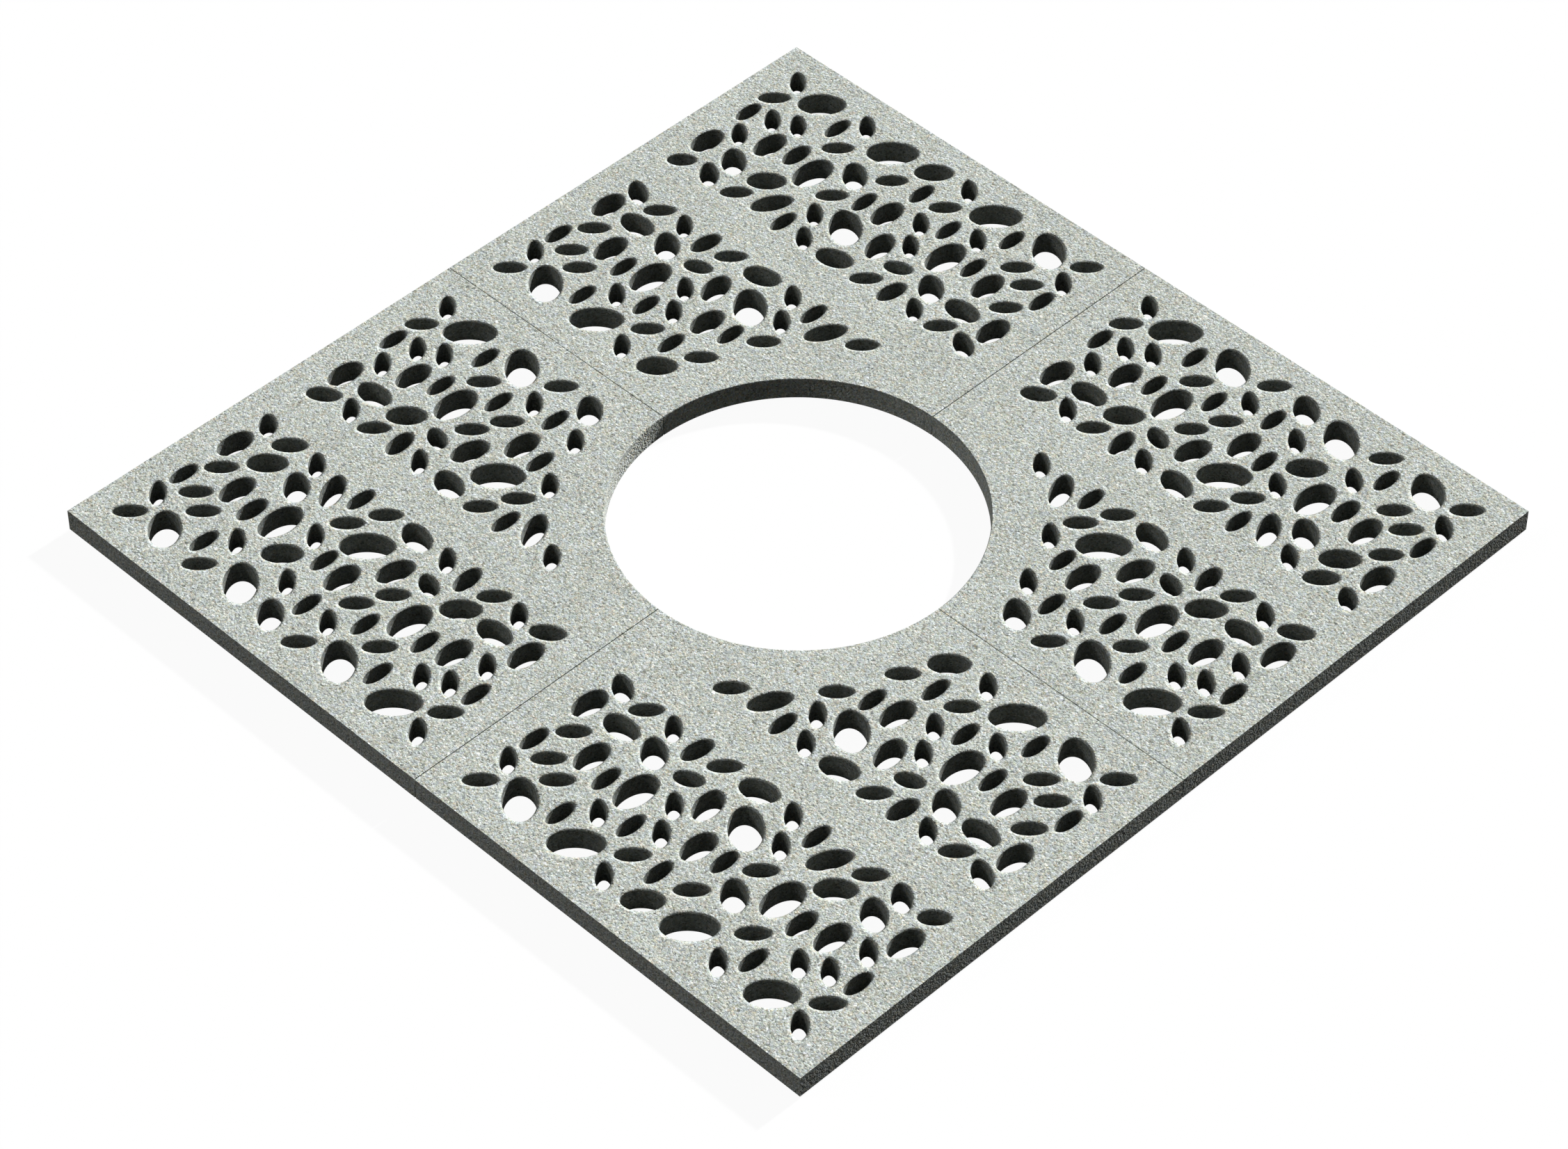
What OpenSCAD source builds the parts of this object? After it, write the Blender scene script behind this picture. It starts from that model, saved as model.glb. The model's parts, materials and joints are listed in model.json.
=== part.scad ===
// Tree grate of four perforated stone quarters around a round trunk opening.
// Millimetres. Origin under the centre of the opening, on the plane that the bearing pads stand on. +Z is up.

/* [Grate] */
// Side of the whole square grate
grate_side = 1200; // [1150:10:1600]
// Thickness of the stone
stone_thick = 30; // [24:1:60]
// Open joint between neighbouring quarters
joint_gap = 1.2; // [1:0.1:5]

/* [Trunk opening] */
// Diameter of the round opening for the trunk
opening_d = 450; // [300:10:520]
// Eased edge around the top of the opening
opening_ease = 1.5; // [0.5:0.5:4]
// Solid stone from the opening's edge to the nearest perforation's centre
collar = 62; // [50:1:90]

/* [Perforations] */
// Length of the small seed-shaped holes
seed_length = 40; // [12:0.5:42]
// Width of the small seed-shaped holes
seed_width = 19; // [8:0.5:20]
// Length of the short, rounder holes
pip_length = 36.5; // [12:0.5:38]
// Width of the short, rounder holes
pip_width = 21; // [8:0.5:22]
// Length of the leaf-shaped holes
leaf_length = 43; // [12:0.5:45]
// Width of the leaf-shaped holes
leaf_width = 23; // [8:0.5:24]
// Length of the longest narrow hole
blade_length = 54; // [12:0.5:56]
// Width of the longest narrow hole
blade_width = 26; // [8:0.5:28]
// Length of the middle-sized holes
petal_length = 49; // [12:0.5:52]
// Width of the middle-sized holes
petal_width = 30; // [8:0.5:32]
// Length of the broad holes
cobble_length = 60; // [12:0.5:62]
// Width of the broad holes
cobble_width = 38; // [8:0.5:40]
// Length of the large holes
pebble_length = 65; // [12:0.5:66]
// Width of the large holes
pebble_width = 40; // [8:0.5:42]
// Lean of the slanting small holes from the grate's X direction
seed_lean = 44; // [40:1:48]
// Lean of the slanting middle-sized and large holes
stone_lean = 41; // [38:1:45]

/* [Bearing pads] */
// Diameter of a pad glued under the stone
pad_d = 24; // [16:1:26]
// Thickness of a pad
pad_thick = 3; // [2:0.5:8]
// Bevel around the foot of a pad
pad_bevel = 0.6; // [0.2:0.1:1]
// Clear stone between a pad and the nearest edge
pad_inset = 5; // [3:0.5:7]

/* [Joint strips] */
// Clearance between a strip and the neighbouring quarter
strip_clear = 0.2; // [0.1:0.05:0.3]
// Depth of a strip below the top face
strip_recess = 8; // [3:0.5:12]
// Height of the joint left open under a strip
strip_lift = 2; // [1:0.5:6]
// Distance that a strip stays back from both ends of its joint
strip_setback = 6; // [3:1:20]

/* [Hidden] */
$fn = 96;
round_fn = 360;
stone_color = "#c3c7c0";
pad_color = "#26282a";
strip_color = "#343536";
half = grate_side / 2;
opening_r = opening_d / 2;
inner_face = joint_gap / 2;
stone_top = pad_thick + stone_thick;
strip_thick = joint_gap - strip_clear;
overcut = 1;

seed = [seed_length, seed_width];
pip = [pip_length, pip_width];
leaf = [leaf_length, leaf_width];
blade = [blade_length, blade_width];
petal = [petal_length, petal_width];
cobble = [cobble_length, cobble_width];
pebble = [pebble_length, pebble_width];

// The perforations are laid out on a drawing with this many units along each side of a quarter
drawn_units = 600;
unit = half / drawn_units;

// One band, outer edge first. Each row is the hole's place along the edge and its place in from the edge,
// both in units of the drawing, its length and width, and its turn from the edge's direction
upright = 90;
band = [
    // along the outer edge
    [51.5, 50.5, seed, seed_lean],
    [103, 59.5, cobble, -stone_lean],
    [150, 79, seed, upright],
    [174.5, 50.5, seed, seed_lean],
    [232, 64, pebble, -stone_lean],
    [294.5, 54.5, petal, -stone_lean],
    [349.5, 49, seed, seed_lean],
    [405.5, 60.5, pebble, -stone_lean],
    [450, 79, seed, upright],
    [496, 61.5, pebble, stone_lean],
    [548.5, 50.5, seed, -seed_lean],
    // second rank
    [51.5, 92.5, seed, -seed_lean],
    [111.5, 110.5, seed, seed_lean],
    [177, 105.5, seed, -seed_lean],
    [268, 102.5, seed, -seed_lean],
    [311.5, 94.5, seed, upright],
    [350, 92.5, seed, -seed_lean],
    [382, 120.5, seed, upright],
    [420.5, 108.5, seed, seed_lean],
    [488.5, 110.5, seed, -seed_lean],
    [548.5, 92.5, seed, seed_lean],
    // third rank
    [48, 135, seed, upright],
    [81, 125.5, seed, seed_lean],
    [229.5, 129, petal, stone_lean],
    [350, 136, seed, seed_lean],
    [519, 126, seed, -seed_lean],
    [552, 135, seed, upright],
    // middle rank of upright holes
    [70.5, 173.5, seed, seed_lean],
    [112.5, 161.5, petal, upright],
    [150, 152, leaf, upright],
    [188.5, 162, cobble, upright],
    [235, 175, seed, -seed_lean],
    [272, 156, seed, upright],
    [307.5, 151.5, petal, upright],
    [369.5, 174.5, seed, seed_lean],
    [414.5, 159.5, cobble, upright],
    [451.5, 149.5, seed, upright],
    [487, 161.5, petal, upright],
    [529, 173.5, seed, -seed_lean],
    // fifth rank
    [51.5, 211, petal, upright],
    [103.5, 216, petal, stone_lean],
    [158.5, 213, petal, -stone_lean],
    [245, 215.5, seed, seed_lean],
    [289.5, 206.5, pebble, stone_lean],
    [343.5, 201.5, petal, 77],
    [387, 214, pip, -22],
    [441.5, 213.5, petal, stone_lean],
    [496, 215.5, petal, 0],
    [547.5, 216, petal, upright],
    // along the plain stone between two bands
    [55, 259, pip, -stone_lean],
    [99, 254.5, leaf, stone_lean],
    [147, 254.5, seed, -seed_lean],
    [193, 238.5, blade, -62],
    [227, 252.5, seed, upright],
    [266.5, 256, seed, seed_lean],
    [319.5, 256.5, petal, -15],
    [372.5, 255.5, seed, -seed_lean],
    [411.5, 251, leaf, -82],
    [453, 254.5, seed, seed_lean],
    [495.5, 253.5, seed, -seed_lean],
    [538.5, 258, leaf, 32],
];
// Units by which the inner band lies nearer the outer edge than a half turn about the middle puts it
tuck_units = 1;

// Each quarter, with its side of the opening in X and in Y
QUARTERS = [["front_left", -1, -1], ["front_right", 1, -1], ["back_left", -1, 1], ["back_right", 1, 1]];

// Each joint strip, with its turn around the opening from the joint at the back
STRIPS = [["back", 0], ["left", 90], ["front", 180], ["right", 270]];

// The pads under one quarter: along both outer edges, and where its two joints meet the opening
pad_step = pad_inset + pad_d / 2;
pad_out = half - pad_step;
pad_mid = half / 2;
pad_in = inner_face + pad_step;
pad_trunk = opening_r + pad_step;
PADS = [
    ["corner", pad_out, pad_out],
    ["edge_x_middle", pad_mid, pad_out],
    ["edge_x_end", pad_in, pad_out],
    ["edge_y_middle", pad_out, pad_mid],
    ["edge_y_end", pad_out, pad_in],
    ["trunk_x", pad_trunk, pad_in],
    ["trunk_y", pad_in, pad_trunk],
];

module perforation(along, in, size, turn) {
    x = half - along * unit;
    y = half - in * unit;
    if (norm([x, y]) > opening_r + collar)
        translate([x, y]) rotate(turn) scale(size / 2) circle(r = 1);
}

// Two bands lie side by side, the inner one turned half round
module perforations() {
    for (h = band) {
        perforation(h[0], h[1], h[2], h[3]);
        perforation(drawn_units - h[0], drawn_units - tuck_units - h[1], h[2], h[3]);
    }
}

module quarter_outline() {
    difference() {
        translate([inner_face, inner_face]) square(half - inner_face);
        circle(r = opening_r, $fn = round_fn);
        perforations();
    }
}

module opening_edge() {
    translate([0, 0, stone_top - opening_ease])
        cylinder(
            r1 = opening_r,
            r2 = opening_r + opening_ease + overcut,
            h = opening_ease + overcut,
            $fn = round_fn
        );
}

module quarter() {
    color(stone_color)
    difference() {
        translate([0, 0, pad_thick]) linear_extrude(stone_thick) quarter_outline();
        opening_edge();
    }
}

module bearing_pad() {
    color(pad_color)
    rotate_extrude()
        polygon([
            [0, 0],
            [pad_d / 2 - pad_bevel, 0],
            [pad_d / 2, pad_bevel],
            [pad_d / 2, pad_thick],
            [0, pad_thick]
        ]);
}

// Glued to the quarter on its right, and clear of the one on its left
module joint_strip() {
    from_trunk = opening_r + strip_setback;
    foot = pad_thick + strip_lift;
    color(strip_color)
    translate([inner_face - strip_thick, from_trunk, foot])
        cube([strip_thick, half - strip_setback - from_trunk, stone_top - strip_recess - foot]);
}

module in_place(q) {
    mirror([q[1] < 0 ? 1 : 0, 0, 0]) mirror([0, q[2] < 0 ? 1 : 0, 0]) children();
}

for (q = QUARTERS) {
    in_place(q) quarter();
    for (p = PADS)
        in_place(q) translate([p[1], p[2]]) bearing_pad();
}

for (s = STRIPS)
    rotate(s[1]) joint_strip();
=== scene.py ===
import json
import math

import bmesh
import bpy
import numpy as np
from mathutils import Matrix, Vector


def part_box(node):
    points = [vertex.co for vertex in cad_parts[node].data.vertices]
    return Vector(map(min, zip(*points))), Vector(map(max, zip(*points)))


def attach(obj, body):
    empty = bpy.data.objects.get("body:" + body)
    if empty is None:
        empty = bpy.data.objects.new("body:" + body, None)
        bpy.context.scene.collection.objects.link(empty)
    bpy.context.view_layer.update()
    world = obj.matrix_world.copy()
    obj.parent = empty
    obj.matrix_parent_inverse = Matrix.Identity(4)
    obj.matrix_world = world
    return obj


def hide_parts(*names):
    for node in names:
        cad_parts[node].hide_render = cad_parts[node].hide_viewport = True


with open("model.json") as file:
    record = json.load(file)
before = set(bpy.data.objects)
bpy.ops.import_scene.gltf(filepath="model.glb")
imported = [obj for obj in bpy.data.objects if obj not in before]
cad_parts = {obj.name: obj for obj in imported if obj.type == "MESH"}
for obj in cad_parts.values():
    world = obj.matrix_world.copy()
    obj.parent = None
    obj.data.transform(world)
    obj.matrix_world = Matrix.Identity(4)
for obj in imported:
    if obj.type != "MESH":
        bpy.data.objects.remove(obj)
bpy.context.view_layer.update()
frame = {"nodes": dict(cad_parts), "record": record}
mm = 0.001
print("frame loaded,", len(frame["nodes"]), "pieces")


# colours and nodes

def linearColour(hexCode):
    channels = [int(hexCode[i:i + 2], 16) / 255 for i in (1, 3, 5)]
    return [c / 12.92 if c <= 0.04045 else ((c + 0.055) / 1.055) ** 2.4 for c in channels] + [1.0]


# links go from a socket of another node to a socket of this one: {"Fac": noise.outputs["Fac"]}
def addNode(tree, kind, settings=None, inputs=None, links=None):
    node = tree.nodes.new(kind)
    for name, value in (settings or {}).items():
        setattr(node, name, value)
    for name, value in (inputs or {}).items():
        node.inputs[name].default_value = value
    for name, socket in (links or {}).items():
        tree.links.new(socket, node.inputs[name])
    return node


# stops are (position, hex colour), interpolation is the ramp's own word
def fillRamp(ramp, stops, interpolation):
    ramp.interpolation = interpolation
    while len(ramp.elements) < len(stops):
        ramp.elements.new(0.5)
    for element, (position, hexCode) in zip(ramp.elements, stops):
        element.position = position
        element.color = linearColour(hexCode)


def startMaterial(name):
    material = bpy.data.materials.new(name)
    material.use_nodes = True
    tree = material.node_tree
    tree.nodes.clear()
    out = addNode(tree, "ShaderNodeOutputMaterial")
    coords = addNode(tree, "ShaderNodeTexCoord")
    return material, tree, out, coords.outputs["Object"]


blending = {"data_type": "RGBA"}   # a Mix node's settings, its colours are inputs 6 and 7 and output 2
multiplying = {"data_type": "RGBA", "blend_type": "MULTIPLY"}


# the stone: cast stone of crushed granite, its top blasted so that the grains stand free.
# To the eye that is a matt pale grey, salted with white, tan, blue-grey and dark grains of 1 to 3 mm

stoneFinish = {
    "grain": 1.9,          # mm between the crushed grains
    "wander": 0.9,         # how far the grains' outlines wander, in grains
    "coarse": 3.6,         # mm between the few coarser grains
    "coarseShare": 0.05,
    "sand": 1.5,           # mm, the sand between them
    "sandSwing": 0.08,     # how much lighter and darker the sand makes the stone
    "lump": 3.2,           # mm, the uneven depth that the blasting left
    "lumpSwing": 0.1,      # how much higher and lower the lumps let the painted shade end
    "hue": 4.4,            # mm, patches of warmer and cooler grains
    "cloud": 140,          # mm, slow change of tone over a slab
    "cloudSwing": 0.03,    # how much lighter and darker that is
    "pebble": 29,          # mm between the places of the rare pebbles
    "pebbleGaps": 0.45,    # share of those places that hold none
    "pebbleRadius": 3.6,   # mm
    "pebbleCore": 0.45,    # share of the radius in which a pebble shows in full
    "pebbleCover": 0.5,    # how much of the stone's tone it covers there
    "pebbleTones": [(0.0, "#5f6a70"), (0.45, "#7a7f78"), (0.75, "#d3cdc3")],   # blue-grey, grey, pale
    "rust": 24,            # mm between the rare specks of iron rust
    "rustRadius": 1.3,     # mm
    "rustCore": 0.4,
    "rustCover": 0.7,
    "rustTone": "#b5875a",
    "grainTones": [(0.0, "#8a8e8b"), (0.04, "#a7aba8"), (0.2, "#b7bcba"), (0.4, "#c4c9c7"),
                   (0.6, "#cfd4d2"), (0.8, "#dbe0df"), (0.95, "#eef1f2")],
    "grainTints": [(0.3, "#fff5e8"), (0.43, "#fffdf2"), (0.52, "#fdfffb"), (0.62, "#f8fdff"),
                   (0.72, "#f3f7ff")],
    "grainKinds": [(0.0, "#f6e6dc"), (0.03, "#f3f8ec"), (0.16, "#ffffff"), (0.84, "#f8f4fa"),
                   (0.97, "#fff6e4")],
    "relief": 1.0,         # mm from the deepest to the highest of it
    "dome": 0.25,          # how far a grain's edge falls off, against the lumps
    "sandHeight": 0.3,     # how far the sand stands out, against the lumps
    "rubbed": 0.5,         # share of the relief left on the worn rims and in the perforations
    "rubbedDepths": (0.1, 0.6),   # mm below the top, between which the relief goes down to that
    "roughness": 0.88,
    "ior": 1.5,
    "gloss": 0.06,         # weak, because the open pores of the surface swallow it
}

# the outer, joint and opening faces came out of the mould, lumpy where grains tore out; their tones are
# paler than the top's, as painted light that brightens their lit walls
mouldedFinish = {
    **stoneFinish,
    # tones paler than the top's: painted light on the side, joint and opening faces
    "grainTones": [(0.0, "#9ca09d"), (0.04, "#b8bcba"), (0.2, "#c7cbc9"), (0.4, "#d1d5d3"),
                   (0.6, "#dadedc"), (0.8, "#e3e6e5"), (0.95, "#f1f3f3")],
    "relief": 1.6,
    "rubbed": 1.0,
}

# what is left of the stone's brightness at each depth in mm below the top: painted shade, darkest in the
# perforations and fading out on their rims towards the top, and none on the other faces
borePaintedShade = [(0, "#ffffff"), (0.4, "#f2f2f2"), (0.7, "#cccccc"), (1.1, "#b0b0b0"),
              (1.8, "#a9a9a9"), (30, "#a6a6a6")]
sideDepths = [(0, "#ffffff"), (30, "#ffffff")]


def blastedStone(name, finish, depths):
    material, tree, out, coords = startMaterial(name)
    # each noise with its detail and roughness
    noises = {}
    for part, detail, rough in (("grain", 1.0, 0.5), ("sand", 0.0, 0.5), ("lump", 1.0, 0.4),
                                ("cloud", 3.0, 0.6), ("hue", 2.0, 0.7)):
        scale = 1 / (finish[part] * mm)
        noises[part] = addNode(tree, "ShaderNodeTexNoise", links={"Vector": coords},
                               inputs={"Scale": scale, "Detail": detail, "Roughness": rough})
    wander = finish["wander"] * finish["grain"] * mm
    shifted = addNode(tree, "ShaderNodeVectorMath", {"operation": "MULTIPLY_ADD"}, {1: [wander] * 3},
                      {0: noises["grain"].outputs["Color"], 2: coords})
    cells = {}
    for part in ("grain", "coarse", "pebble", "rust"):
        cells[part] = addNode(tree, "ShaderNodeTexVoronoi", inputs={"Scale": 1 / (finish[part] * mm)},
                              links={"Vector": shifted.outputs[0]})
    # each cell's random colour holds the numbers that pick its tone, its kind and whether it is there
    picks = {}
    for part in ("grain", "coarse", "pebble"):
        picks[part] = addNode(tree, "ShaderNodeSeparateColor", links={"Color": cells[part].outputs["Color"]})
    ramps = {}
    for part, stops, source, interpolation in (
            ("grain", "grainTones", picks["grain"].outputs["Red"], "CONSTANT"),
            ("coarse", "grainTones", picks["coarse"].outputs["Red"], "CONSTANT"),
            ("pebble", "pebbleTones", picks["pebble"].outputs["Red"], "CONSTANT"),
            ("kind", "grainKinds", picks["grain"].outputs["Blue"], "CONSTANT"),
            ("tint", "grainTints", noises["hue"].outputs["Fac"], "LINEAR")):
        ramp = addNode(tree, "ShaderNodeValToRGB", links={"Fac": source})
        fillRamp(ramp.color_ramp, finish[stops], interpolation)
        ramps[part] = ramp.outputs["Color"]
    isCoarse = addNode(tree, "ShaderNodeMath", {"operation": "LESS_THAN"}, {1: finish["coarseShare"]},
                       {0: picks["coarse"].outputs["Green"]})
    untinted = addNode(tree, "ShaderNodeMix", blending,
                       links={"Factor": isCoarse.outputs[0], 6: ramps["grain"], 7: ramps["coarse"]})
    tinted = addNode(tree, "ShaderNodeMix", multiplying, {"Factor": 1.0},
                     {6: untinted.outputs[2], 7: ramps["tint"]})
    tones = addNode(tree, "ShaderNodeMix", multiplying, {"Factor": 1.0},
                    {6: tinted.outputs[2], 7: ramps["kind"]})
    # levels around 1, from the span that each noise really fills around its middle
    swings = {}
    for part, span in (("sand", 0.2), ("cloud", 0.15), ("lump", 0.2)):
        swing = finish[part + "Swing"]
        level = addNode(tree, "ShaderNodeMapRange", links={"Value": noises[part].outputs["Fac"]},
                        inputs={"From Min": 0.5 - span, "From Max": 0.5 + span,
                                "To Min": 1 - swing, "To Max": 1 + swing})
        swings[part] = level.outputs["Result"]
    brightness = addNode(tree, "ShaderNodeMath", {"operation": "MULTIPLY"},
                         links={0: swings["sand"], 1: swings["cloud"]})
    levelled = addNode(tree, "ShaderNodeVectorMath", {"operation": "SCALE"},
                       links={0: tones.outputs[2], "Scale": brightness.outputs[0]})
    # rare pebbles in some of their cells only, and a speck of rust in each of its own
    spots = {}
    for part in ("pebble", "rust"):
        radius = finish[part + "Radius"] / finish[part]
        spot = addNode(tree, "ShaderNodeMapRange", links={"Value": cells[part].outputs["Distance"]},
                       inputs={"From Min": radius, "From Max": finish[part + "Core"] * radius,
                               "To Min": 0.0, "To Max": finish[part + "Cover"]})
        spots[part] = spot.outputs["Result"]
    chosen = addNode(tree, "ShaderNodeMath", {"operation": "GREATER_THAN"}, {1: finish["pebbleGaps"]},
                     {0: picks["pebble"].outputs["Blue"]})
    pebble = addNode(tree, "ShaderNodeMath", {"operation": "MULTIPLY"},
                     links={0: spots["pebble"], 1: chosen.outputs[0]})
    pebbled = addNode(tree, "ShaderNodeMix", blending,
                      links={"Factor": pebble.outputs[0], 6: levelled.outputs[0], 7: ramps["pebble"]})
    spotted = addNode(tree, "ShaderNodeMix", blending, {7: linearColour(finish["rustTone"])},
                      {"Factor": spots["rust"], 6: pebbled.outputs[2]})
    # depth below the top, uneven by the lumps, so that the painted shade ends in a ragged line
    deepest = depths[-1][0]
    place = addNode(tree, "ShaderNodeSeparateXYZ", links={0: coords})
    depth = addNode(tree, "ShaderNodeMapRange", links={"Value": place.outputs["Z"]},
                    inputs={"From Min": topHeight, "From Max": topHeight - deepest * mm})
    raggedDepth = addNode(tree, "ShaderNodeMath", {"operation": "MULTIPLY"},
                          links={0: depth.outputs["Result"], 1: swings["lump"]})
    # painted shade of the perforations and their rims, by depth below the top
    paintedShade = addNode(tree, "ShaderNodeValToRGB", links={"Fac": raggedDepth.outputs[0]})
    fillRamp(paintedShade.color_ramp, [(depthMm / deepest, grey) for depthMm, grey in depths], "LINEAR")
    shaded = addNode(tree, "ShaderNodeMix", multiplying, {"Factor": 1.0},
                     {6: spotted.outputs[2], 7: paintedShade.outputs["Color"]})
    # each grain is a low dome, on lumps that the blasting left
    domes = addNode(tree, "ShaderNodeMath", {"operation": "MULTIPLY_ADD"}, {1: -finish["dome"]},
                    {0: cells["grain"].outputs["Distance"], 2: noises["lump"].outputs["Fac"]})
    height = addNode(tree, "ShaderNodeMath", {"operation": "MULTIPLY_ADD"}, {1: finish["sandHeight"]},
                     {0: noises["sand"].outputs["Fac"], 2: domes.outputs[0]})
    rubbedFrom, rubbedTo = finish["rubbedDepths"]
    strength = addNode(tree, "ShaderNodeMapRange", links={"Value": place.outputs["Z"]},
                       inputs={"From Min": topHeight - rubbedFrom * mm, "From Max": topHeight - rubbedTo * mm,
                               "To Min": 1.0, "To Max": finish["rubbed"]})
    bump = addNode(tree, "ShaderNodeBump", inputs={"Distance": finish["relief"] * mm},
                   links={"Height": height.outputs[0], "Strength": strength.outputs["Result"]})
    shader = addNode(tree, "ShaderNodeBsdfPrincipled",
                     inputs={"Roughness": finish["roughness"], "IOR": finish["ior"],
                             "Specular IOR Level": finish["gloss"]},
                     links={"Base Color": shaded.outputs[2], "Normal": bump.outputs["Normal"]})
    tree.links.new(shader.outputs["BSDF"], out.inputs["Surface"])
    return material


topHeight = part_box("quarter_back_right")[1].z
topStone = blastedStone("blastedCastStone", stoneFinish, borePaintedShade)
sideStone = blastedStone("mouldedCastStone", mouldedFinish, sideDepths)
print("stone mixed")


# the four quarter slabs

slab = {
    "edgeEase": 0.3 * mm,      # outer and joint edges, rubbed with a stone
    "edgeSteps": 2,
    "openingEase": 1.5 * mm,   # edge around the trunk, rounded off
    "openingSteps": 4,
    "arris": (4.4 * mm, 0.5 * mm),   # how far a worn rim reaches out from its perforation, and down
    "arrisCurve": 2.0,         # 1 is a flat bevel, higher is steeper at the perforation, flatter at the top
    "arrisSteps": 6,
    "lean": 62,                # degrees that the light sees the rim lean in at the perforation, rubbed round
    "leanCurve": 1.35,         # how soon that lean is lost further out
    "wallEdge": 0.3 * mm,      # strip of wall under the rim, which keeps the wall's own shading straight
    "arrisRing": 0.3 * mm,     # flat stone around the rim, which ends its shading
    "web": 0.46,               # share of the stone between two perforations that one rim may take
    "underEase": 0.5 * mm,     # rim of a perforation underneath
    "holeSegments": 64,
    "openingSegments": 96,
    "capSlope": 0.99,          # faces with a steeper normal are the prism's two ends
    "topSlope": 0.3,           # faces that look up more than this have the blasted finish
}
cornerNode = "quarter_back_right"   # the quarter in +X +Y, which the other three mirror
mergeGap = 0.001 * mm


# half length, half width, turn and centre of an ellipse through the points
def fitEllipse(points):
    xy = np.array([(p.x, p.y) for p in points]) / mm
    middle = xy.mean(0)
    x, y = (xy - middle).T
    terms = np.stack([x * x, x * y, y * y, x, y], 1)
    a, b, c, d, e = np.linalg.lstsq(terms, np.ones(len(x)), rcond=None)[0]
    form = np.array([[a, b / 2], [b / 2, c]])
    centre = np.linalg.solve(2 * form, [-d, -e])
    values, vectors = np.linalg.eigh(form / (1 + centre @ form @ centre))
    long = vectors[:, 0]
    half = mm / np.sqrt(values)
    return half[0], half[1], math.atan2(long[1], long[0]), Vector((*(centre + middle) * mm, 0))


def rimWidth(rim):
    return max(p.x for p in rim) - min(p.x for p in rim)


# the places of the perforations come from the rims on the CAD quarter's top face
def readPerforations(node):
    bm = bmesh.new()
    bm.from_mesh(node.data)
    bmesh.ops.remove_doubles(bm, verts=bm.verts, dist=mergeGap)
    top = max(v.co.z for v in bm.verts)
    lower = [f for f in bm.faces if any(top - v.co.z > mergeGap for v in f.verts)]
    bmesh.ops.delete(bm, geom=lower, context="FACES")
    rims = []
    waiting = {v for v in bm.verts if v.is_boundary}
    while waiting:
        rim = [waiting.pop()]
        for vert in rim:
            ahead = [e.other_vert(vert) for e in vert.link_edges if e.is_boundary]
            found = [v for v in ahead if v in waiting]
            waiting.difference_update(found)
            rim.extend(found)
        rims.append([v.co.copy() for v in rim])
    bm.free()
    rims.sort(key=rimWidth)
    return [fitEllipse(rim) for rim in rims[:-1]]   # the widest is the quarter's own outline


def outlinePrism(low, high, radius):
    bm = bmesh.new()
    start = math.asin(low.y / radius)
    first = bm.verts.new((radius * math.cos(start), low.y, low.z))
    arc = bmesh.ops.spin(bm, geom=[first], cent=(0, 0, 0), axis=(0, 0, 1), dvec=(0, 0, 0),
                         angle=math.pi / 2 - 2 * start, steps=slab["openingSegments"], use_duplicate=False)
    last = arc["geom_last"][0]
    corners = [bm.verts.new((x, y, low.z)) for x, y in ((low.x, high.y), (high.x, high.y), (high.x, low.y))]
    chain = [last, *corners, first]
    for here, ahead in zip(chain, chain[1:]):
        bm.edges.new((here, ahead))
    base = bmesh.ops.contextual_create(bm, geom=bm.edges[:])["faces"][0]
    raised = bmesh.ops.extrude_face_region(bm, geom=[base])["geom"]
    bmesh.ops.translate(bm, verts=[v for v in raised if isinstance(v, bmesh.types.BMVert)],
                        vec=(0, 0, high.z - low.z))
    bmesh.ops.recalc_face_normals(bm, faces=bm.faces[:])
    return bm


def isAt(edge, z):
    return all(abs(v.co.z - z) < mergeGap for v in edge.verts)


# how far each rim may reach out, point by point, before it meets its neighbour's
def rimReaches(perforations):
    turns = np.linspace(0, 2 * math.pi, slab["holeSegments"], endpoint=False)
    rims = []
    for halfLong, halfShort, turn, centre in perforations:
        along, across = halfLong * np.cos(turns), halfShort * np.sin(turns)
        x = centre.x + along * math.cos(turn) - across * math.sin(turn)
        y = centre.y + along * math.sin(turn) + across * math.cos(turn)
        rims.append(np.stack([x, y], 1))
    reaches = []
    for number, rim in enumerate(rims):
        others = np.concatenate(rims[:number] + rims[number + 1:])
        webs = np.linalg.norm(rim[:, None] - others, axis=2).min(1)
        reaches.append(np.minimum(slab["arris"][0], slab["web"] * webs - slab["arrisRing"]))
    return reaches


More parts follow.
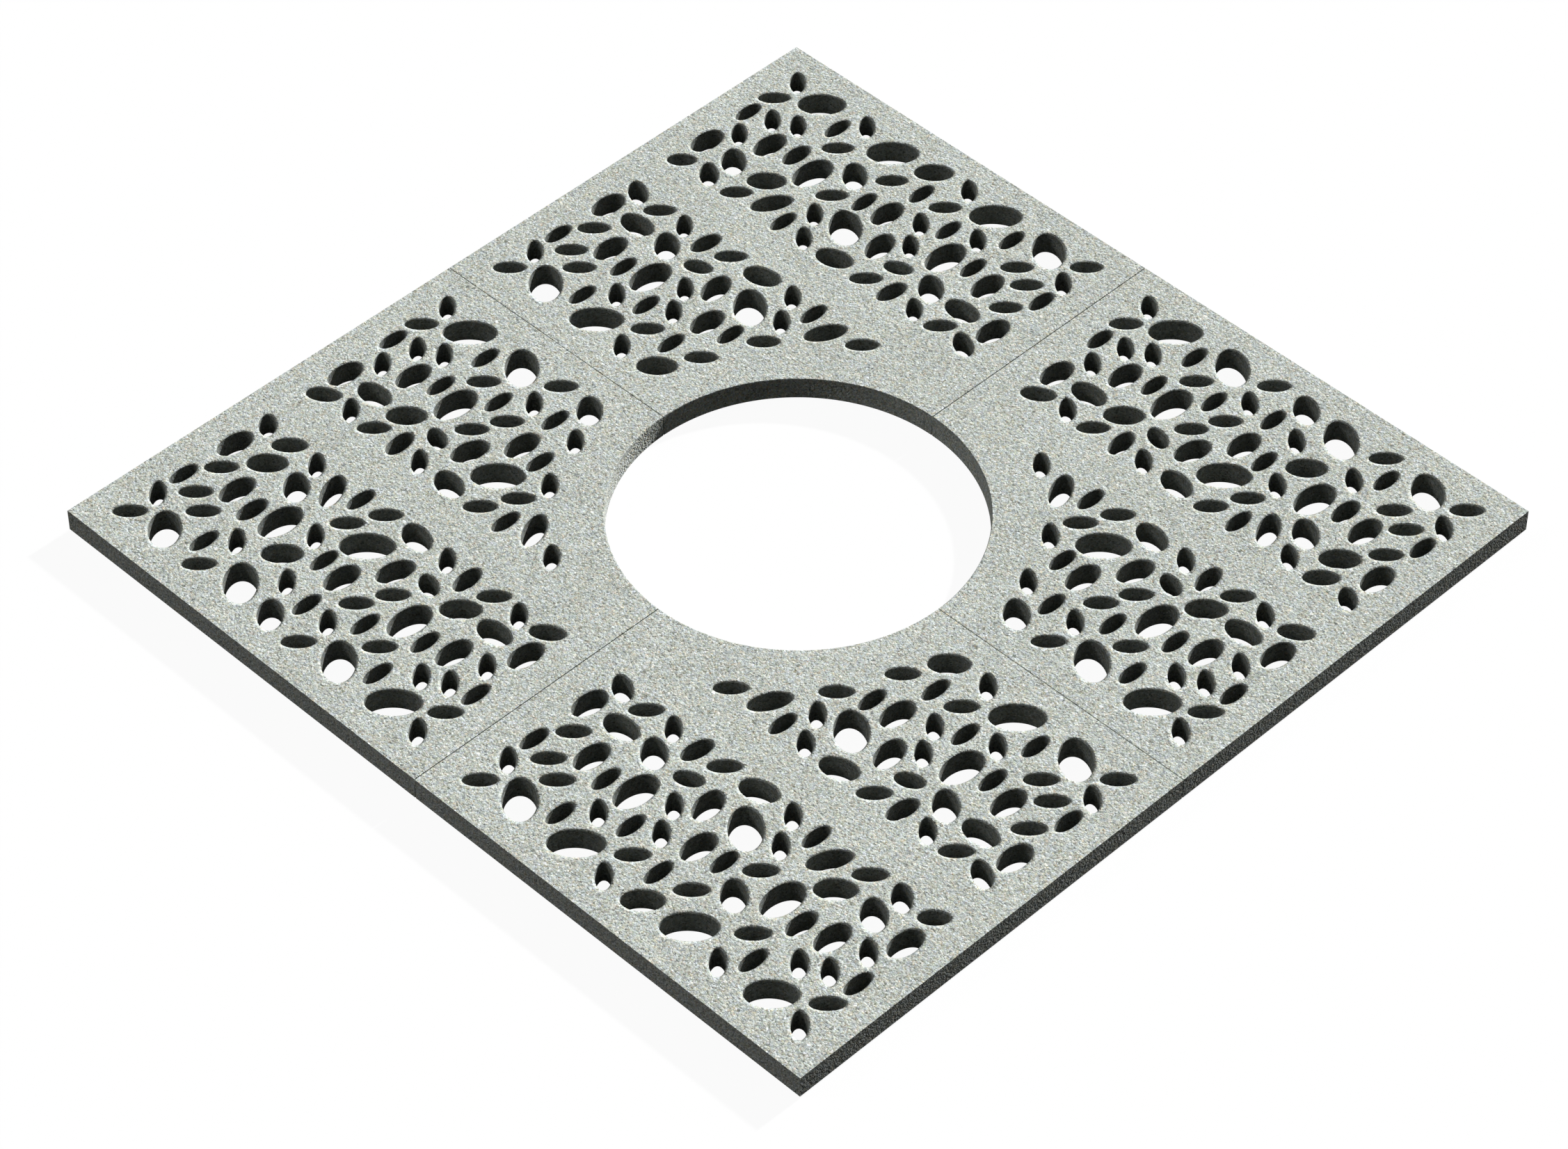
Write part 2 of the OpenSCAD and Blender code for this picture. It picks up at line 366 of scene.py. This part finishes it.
# one open tube from the underside to the top, added to the slab's mesh
def sinkPerforation(slabMesh, halfLong, halfShort, turn, centre, reaches, low, high):
    steps, under = slab["arrisSteps"], slab["underEase"]
    fall = slab["arris"][1] / slab["arris"][0]
    # each ring's way out and height, and how much of the rim's reach is added to the one and taken off
    # the other
    rings = [(under, low, 0, 0), (0, low + under, 0, 0), (0, high - slab["wallEdge"], 0, fall)]
    for step in range(steps + 1):
        share = step / steps
        rings.append((0, high, share, fall * (1 - share) ** slab["arrisCurve"]))
    rings.append((slab["arrisRing"], high, 1, 0))
    turned = Matrix.Rotation(turn, 4, "Z")
    place = Matrix.Translation(centre) @ turned
    bm = bmesh.new()
    bend = bm.verts.layers.float_vector.new("bend")
    bmesh.ops.create_circle(bm, radius=1, segments=slab["holeSegments"])
    verts, edges = bm.verts[:], bm.edges[:]
    for number, (out, z, outShare, downShare) in enumerate(rings):
        grown = bmesh.ops.extrude_edge_only(bm, edges=edges)["geom"] if number < len(rings) - 1 else []
        lean = math.radians(slab["lean"]) * (1 - outShare) ** slab["leanCurve"]
        for vert in verts:
            spot = round(math.atan2(vert.co.y, vert.co.x) / math.tau * len(reaches)) % len(reaches)
            way = out + outShare * reaches[spot]
            if z == high:
                inward = -Vector((vert.co.x / halfLong, vert.co.y / halfShort, 0)).normalized()
                tilt = Vector((inward.x * math.sin(lean), inward.y * math.sin(lean), math.cos(lean)))
                vert[bend] = turned @ tilt
            vert.co = place @ Vector(((halfLong + way) * vert.co.x, (halfShort + way) * vert.co.y,
                                      z - downShare * reaches[spot]))
        for face in (f for f in grown if isinstance(f, bmesh.types.BMFace)):
            face.smooth = number > 0
        verts = {v for v in grown if isinstance(v, bmesh.types.BMVert)}
        edges = list({e for v in verts for e in v.link_edges if verts.issuperset(e.verts)})
    tube = bpy.data.meshes.new("tube")
    bm.to_mesh(tube)
    bm.free()
    slabMesh.from_mesh(tube)
    bpy.data.meshes.remove(tube)


def buildQuarter(perforations, low, high, radius):
    bm = outlinePrism(low, high, radius)
    ease = slab["openingEase"]
    around = [e for e in bm.edges
              if isAt(e, high.z) and all(v.co.xy.length < radius + ease for v in e.verts)]
    bmesh.ops.bevel(bm, geom=around, offset=ease, segments=slab["openingSteps"], affect="EDGES",
                    profile=0.5, material=-1)
    straight = [e for e in bm.edges
                if isAt(e, high.z) and any(v.co.xy.length > radius + 2 * ease for v in e.verts)]
    bmesh.ops.bevel(bm, geom=straight, offset=slab["edgeEase"], segments=slab["edgeSteps"], affect="EDGES",
                    profile=0.5, material=-1)
    caps = [f for f in bm.faces if abs(f.normal.z) > slab["capSlope"]]
    bmesh.ops.delete(bm, geom=caps, context="FACES_ONLY")
    for face in bm.faces:
        face.material_index = 0 if face.normal.z > slab["topSlope"] else 1
    bm.verts.layers.float_vector.new("bend")
    for hole, reaches in zip(perforations, rimReaches(perforations)):
        sinkPerforation(bm, *hole, reaches, low.z, high.z)
    for z, index in ((low.z, 1), (high.z, 0)):
        rims = [e for e in bm.edges if e.is_boundary and isAt(e, z)]
        filled = bmesh.ops.triangle_fill(bm, use_beauty=True, use_dissolve=False, edges=rims)["geom"]
        for face in (f for f in filled if isinstance(f, bmesh.types.BMFace)):
            face.smooth = False
            face.material_index = index
    bmesh.ops.recalc_face_normals(bm, faces=bm.faces[:])
    return bm


# the rims' roundness goes into the normals, so that the stone between two perforations keeps its height
def leanRims(mesh, side):
    bends = np.zeros(len(mesh.vertices) * 3, dtype=np.float32)
    mesh.attributes["bend"].data.foreach_get("vector", bends)
    mesh.attributes.remove(mesh.attributes["bend"])
    corners = np.zeros(len(mesh.loops), dtype=np.int32)
    mesh.loops.foreach_get("vertex_index", corners)
    leans = bends.reshape(-1, 3) * (*side, 1)
    mesh.normals_split_custom_set(leans[corners])   # zero keeps a corner as it is


opening = next(m for m in frame["record"]["mounts"] if m["name"] == "trunk_opening")
low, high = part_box(cornerNode)
perforations = readPerforations(frame["nodes"][cornerNode])
print("perforations read,", len(perforations), "a quarter")
corner = buildQuarter(perforations, low, high, opening["dims"]["r_mm"] * mm)
for name in ("front_left", "front_right", "back_left", "back_right"):
    node = "quarter_" + name
    nodeLow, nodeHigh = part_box(node)
    side = [1 if nodeHigh[axis] > -nodeLow[axis] else -1 for axis in (0, 1)]
    bm = corner.copy()
    bmesh.ops.scale(bm, vec=(*side, 1), verts=bm.verts[:])
    bmesh.ops.recalc_face_normals(bm, faces=bm.faces[:])
    mesh = bpy.data.meshes.new("stone_" + name)
    bm.to_mesh(mesh)
    bm.free()
    leanRims(mesh, side)
    for material in (topStone, sideStone):
        mesh.materials.append(material)
    piece = bpy.data.objects.new("stone_" + name, mesh)
    bpy.context.scene.collection.objects.link(piece)
    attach(piece, name)
    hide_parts(node)
corner.free()
print("slabs built,", len(mesh.polygons), "faces each")


# pads of moulded EPDM rubber: matt near-black, with the dust of the bed on them

padFinish = {
    "colour": "#232527",
    "dust": "#6f6a60",
    "dustPatch": 6,            # mm
    "dustSpan": (0.45, 0.8),   # levels of the patches' noise between which the dust thickens
    "dustCover": 0.5,          # how much of the rubber's colour it covers there
    "grit": 0.5,               # mm
    "relief": 0.05,            # mm
    "reliefStrength": 0.6,
    "roughness": 0.82,
    "ior": 1.5,
}

# joint strips of cellular EPDM: a softer, greyer black, its cut faces open with small cells
stripFinish = {
    **padFinish,
    "colour": "#2e2f30",
    "dust": "#77736a",
    "dustPatch": 9,
    "grit": 0.9,
    "relief": 0.12,
    "roughness": 0.92,
}


def mouldedRubber(name, finish):
    material, tree, out, coords = startMaterial(name)
    patches = addNode(tree, "ShaderNodeTexNoise", links={"Vector": coords},
                      inputs={"Scale": 1 / (finish["dustPatch"] * mm), "Detail": 4.0})
    thin, thick = finish["dustSpan"]
    amount = addNode(tree, "ShaderNodeMapRange", links={"Value": patches.outputs["Fac"]},
                     inputs={"From Min": thin, "From Max": thick,
                             "To Min": 0.0, "To Max": finish["dustCover"]})
    colour = addNode(tree, "ShaderNodeMix", blending,
                     {6: linearColour(finish["colour"]), 7: linearColour(finish["dust"])},
                     {"Factor": amount.outputs["Result"]})
    grit = addNode(tree, "ShaderNodeTexNoise", links={"Vector": coords},
                   inputs={"Scale": 1 / (finish["grit"] * mm), "Detail": 2.0})
    bump = addNode(tree, "ShaderNodeBump", links={"Height": grit.outputs["Fac"]},
                   inputs={"Strength": finish["reliefStrength"], "Distance": finish["relief"] * mm})
    shader = addNode(tree, "ShaderNodeBsdfPrincipled",
                     inputs={"Roughness": finish["roughness"], "IOR": finish["ior"]},
                     links={"Base Color": colour.outputs[2], "Normal": bump.outputs["Normal"]})
    tree.links.new(shader.outputs["BSDF"], out.inputs["Surface"])
    return material


padRubber = mouldedRubber("mouldedRubber", padFinish)
stripRubber = mouldedRubber("cellularRubber", stripFinish)
for name, node in frame["nodes"].items():
    if name.startswith(("pad_", "strip_")):
        for slot in node.material_slots:
            slot.material = padRubber if name.startswith("pad_") else stripRubber
print("rubber pieces finished")


# floor, light and camera

studio = {
    "sky": 0.008,           # of the light on the top that comes from all round
    "floorSize": 8.0,       # m
    "floorDrop": 0.2 * mm,  # the pads' feet don't share the floor's plane
    "floorColour": "#101010",   # what the stone sees of the floor
    "floorGlow": 0.95,      # how much of the white ground is its own to the camera, the rest shows shadow
    "ground": "#ffffff",
}

# degrees from +X and above the floor, width in degrees, and share of the light that falls on the top
lamps = {
    "softSun": (88.5, 28, 2.5, 0.88),
    "leftFill": (230, 38, 20, 0.1),
    "rightFill": (42, 42, 20, 0.022),
}

# the photograph's view, worked out from the square's four corners
shot = {
    "azimuth": 44.93, "elevation": 45.04, "roll": 0.06,   # degrees
    "distance": 5.8845,                                   # m
    "target": (0.0623, -0.0855, 0.033),
    "lens": 117.81, "sensor": 36.0,                       # mm
    "farthest": 100,                                      # m
}


# 1 for the rays that show the white ground: the camera's own, and those that gloss and glass pass on
def seenWhite(tree):
    path = addNode(tree, "ShaderNodeLightPath")
    seen = path.outputs["Is Camera Ray"]
    for ray in ("Is Glossy Ray", "Is Transmission Ray"):
        either = addNode(tree, "ShaderNodeMath", {"operation": "MAXIMUM"},
                         links={0: seen, 1: path.outputs[ray]})
        seen = either.outputs[0]
    return seen


def buildFloor():
    bm = bmesh.new()
    bmesh.ops.create_grid(bm, x_segments=1, y_segments=1, size=studio["floorSize"] / 2)
    bmesh.ops.translate(bm, verts=bm.verts[:], vec=(0, 0, -studio["floorDrop"]))
    mesh = bpy.data.meshes.new("floor")
    bm.to_mesh(mesh)
    bm.free()
    material = bpy.data.materials.new("paleFloor")
    material.use_nodes = True
    tree = material.node_tree
    tree.nodes.clear()
    out = addNode(tree, "ShaderNodeOutputMaterial")
    seen = seenWhite(tree)
    ground = linearColour(studio["ground"])
    colour = addNode(tree, "ShaderNodeMix", blending, {6: linearColour(studio["floorColour"]), 7: ground},
                     {"Factor": seen})
    matt = addNode(tree, "ShaderNodeBsdfDiffuse", links={"Color": colour.outputs[2]})
    glow = addNode(tree, "ShaderNodeEmission", inputs={"Color": ground, "Strength": 1.0})
    share = addNode(tree, "ShaderNodeMath", {"operation": "MULTIPLY"}, {1: studio["floorGlow"]}, {0: seen})
    surface = addNode(tree, "ShaderNodeMixShader",
                      links={0: share.outputs[0], 1: matt.outputs[0], 2: glow.outputs[0]})
    tree.links.new(surface.outputs[0], out.inputs["Surface"])
    mesh.materials.append(material)
    floor = bpy.data.objects.new("floor", mesh)
    bpy.context.scene.collection.objects.link(floor)


def buildLights():
    for name, (azimuth, elevation, width, share) in lamps.items():
        azimuth, elevation = math.radians(azimuth), math.radians(elevation)
        lamp = bpy.data.lights.new(name, "SUN")
        lamp.angle = math.radians(width)
        lamp.energy = math.pi * share / math.sin(elevation)   # all shares together show a colour as written
        level = math.cos(elevation)
        towards = Vector((math.cos(azimuth) * level, math.sin(azimuth) * level, math.sin(elevation)))
        sun = bpy.data.objects.new(name, lamp)
        sun.rotation_euler = towards.to_track_quat("Z", "Y").to_euler()
        bpy.context.scene.collection.objects.link(sun)


def buildSky():
    world = bpy.data.worlds.new("studio")
    bpy.context.scene.world = world
    world.use_nodes = True
    tree = world.node_tree
    tree.nodes.clear()
    out = addNode(tree, "ShaderNodeOutputWorld")
    strength = addNode(tree, "ShaderNodeMapRange", inputs={"To Min": studio["sky"], "To Max": 1.0},
                       links={"Value": seenWhite(tree)})
    sky = addNode(tree, "ShaderNodeBackground", inputs={"Color": linearColour(studio["ground"])},
                  links={"Strength": strength.outputs["Result"]})
    tree.links.new(sky.outputs[0], out.inputs["Surface"])


def buildCamera():
    azimuth, elevation = math.radians(shot["azimuth"]), math.radians(shot["elevation"])
    level = math.cos(elevation)
    back = Vector((math.sin(azimuth) * level, -math.cos(azimuth) * level, math.sin(elevation)))
    right = Vector((math.cos(azimuth), math.sin(azimuth), 0))
    upright = Matrix((right, back.cross(right), back)).transposed()
    turn = upright @ Matrix.Rotation(math.radians(shot["roll"]), 3, "Z")
    lens = bpy.data.cameras.new("camera")
    lens.lens = shot["lens"]
    lens.sensor_width = shot["sensor"]
    lens.clip_end = shot["farthest"]
    camera = bpy.data.objects.new("camera", lens)
    camera.matrix_world = Matrix.Translation(Vector(shot["target"]) + back * shot["distance"]) @ turn.to_4x4()
    bpy.context.scene.collection.objects.link(camera)
    bpy.context.scene.camera = camera


buildFloor()
buildLights()
buildSky()
buildCamera()
bpy.context.scene.view_settings.view_transform = "Standard"
print("floor, light and camera set")
